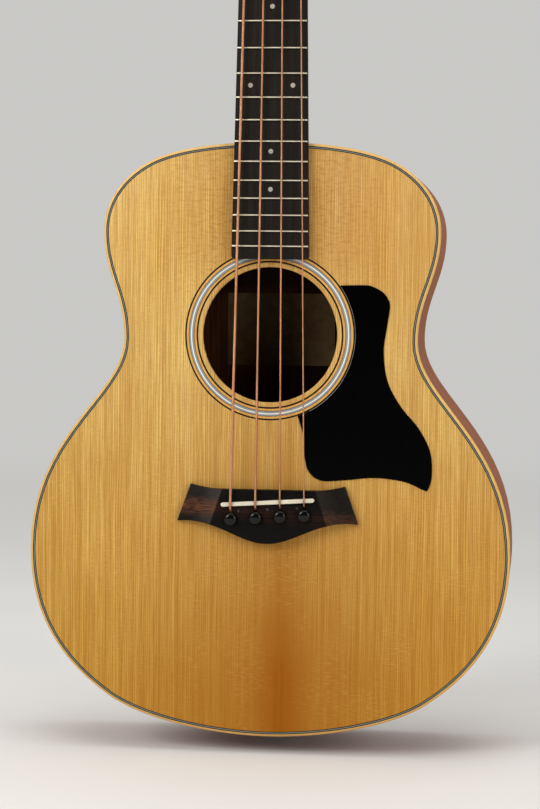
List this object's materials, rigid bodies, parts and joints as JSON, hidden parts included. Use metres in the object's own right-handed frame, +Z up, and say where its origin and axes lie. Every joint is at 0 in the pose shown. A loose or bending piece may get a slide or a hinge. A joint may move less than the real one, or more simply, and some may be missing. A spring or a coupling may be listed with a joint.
{
  "type": "acoustic bass guitar",
  "caption": "Small-bodied acoustic bass guitar with a round soundhole, pinned bridge, pickguard, fretted neck and open-gear tuning machines on a tilted headstock.",
  "frame": {"origin": "back of the neck just under the headstock, where a hanger yoke holds it", "axes": "+Z up along the neck, +X towards the thin strings, -Y out of the soundboard"},
  "size_m": [0.3646, 0.1233, 0.9398],
  "materials": {
    "top_wood": "satin",
    "side_wood": "satin",
    "inner_wood": "raw",
    "neck_wood": "satin",
    "dark_wood": "satin",
    "ivory_trim": "polished",
    "black_plastic": "gloss",
    "ring_trim": "satin",
    "fret_metal": "polished",
    "string_bronze": "wound",
    "nickel": "polished",
    "rod_steel": "plain"
  },
  "bodies": {
    "instrument": {"soundboard": "top_wood", "back_plate": "side_wood", "side_rim": "side_wood", "top_lining_bass": "inner_wood", "top_lining_treble": "inner_wood", "back_lining_bass": "inner_wood", "back_lining_treble": "inner_wood", "neck_block": "inner_wood", "tail_block": "inner_wood", "x_brace": "inner_wood", "bridge_plate": "inner_wood", "rosette": "ring_trim", "pickguard": "black_plastic", "bridge": "dark_wood", "saddle": "ivory_trim", "neck": "neck_wood", "truss_rod": "rod_steel", "fretboard": "dark_wood", "nut": "ivory_trim", "end_pin": "black_plastic", "fret_01": "fret_metal", "fret_02": "fret_metal", "fret_03": "fret_metal", "fret_04": "fret_metal", "fret_05": "fret_metal", "fret_06": "fret_metal", "fret_07": "fret_metal", "fret_08": "fret_metal", "fret_09": "fret_metal", "fret_10": "fret_metal", "fret_11": "fret_metal", "fret_12": "fret_metal", "fret_13": "fret_metal", "fret_14": "fret_metal", "fret_15": "fret_metal", "fret_16": "fret_metal", "fret_17": "fret_metal", "fret_18": "fret_metal", "fret_19": "fret_metal", "fret_20": "fret_metal", "string_e": "string_bronze", "bridge_pin_e": "black_plastic", "machine_plate_e": "nickel", "string_a": "string_bronze", "bridge_pin_a": "black_plastic", "machine_plate_a": "nickel", "string_d": "string_bronze", "bridge_pin_d": "black_plastic", "machine_plate_d": "nickel", "string_g": "string_bronze", "bridge_pin_g": "black_plastic", "machine_plate_g": "nickel"},
    "key_e": {"machine_key_e": "nickel"},
    "post_e": {"machine_post_e": "nickel"},
    "key_a": {"machine_key_a": "nickel"},
    "post_a": {"machine_post_a": "nickel"},
    "key_d": {"machine_key_d": "nickel"},
    "post_d": {"machine_post_d": "nickel"},
    "key_g": {"machine_key_g": "nickel"},
    "post_g": {"machine_post_g": "nickel"}
  },
  "joints": [
    {"name": "key_e_turn", "type": "hinge", "parent": "instrument", "child": "key_e", "pos_m": [-0.02, 0.01209, 0.03737], "axis": [1, 0, 0], "continuous": true},
    {"name": "post_e_turn", "type": "hinge", "parent": "instrument", "child": "post_e", "pos_m": [-0.02, -0.00469, 0.05357], "axis": [0, -0.9659, 0.2588], "continuous": true},
    {"name": "key_a_turn", "type": "hinge", "parent": "instrument", "child": "key_a", "pos_m": [-0.02, 0.02762, 0.09533], "axis": [1, 0, 0], "continuous": true},
    {"name": "post_a_turn", "type": "hinge", "parent": "instrument", "child": "post_a", "pos_m": [-0.02, 0.01084, 0.11152], "axis": [0, -0.9659, 0.2588], "continuous": true},
    {"name": "key_d_turn", "type": "hinge", "parent": "instrument", "child": "key_d", "pos_m": [0.02, 0.02762, 0.09533], "axis": [1, 0, 0], "continuous": true},
    {"name": "post_d_turn", "type": "hinge", "parent": "instrument", "child": "post_d", "pos_m": [0.02, 0.01084, 0.11152], "axis": [0, -0.9659, 0.2588], "continuous": true},
    {"name": "key_g_turn", "type": "hinge", "parent": "instrument", "child": "key_g", "pos_m": [0.02, 0.01209, 0.03737], "axis": [1, 0, 0], "continuous": true},
    {"name": "post_g_turn", "type": "hinge", "parent": "instrument", "child": "post_g", "pos_m": [0.02, -0.00469, 0.05357], "axis": [0, -0.9659, 0.2588], "continuous": true}
  ],
  "couplings": [
    {"joint": "post_e_turn", "follows": "key_e_turn", "ratio": -0.0625},
    {"joint": "post_a_turn", "follows": "key_a_turn", "ratio": -0.0625},
    {"joint": "post_d_turn", "follows": "key_d_turn", "ratio": -0.0625},
    {"joint": "post_g_turn", "follows": "key_g_turn", "ratio": -0.0625}
  ]
}
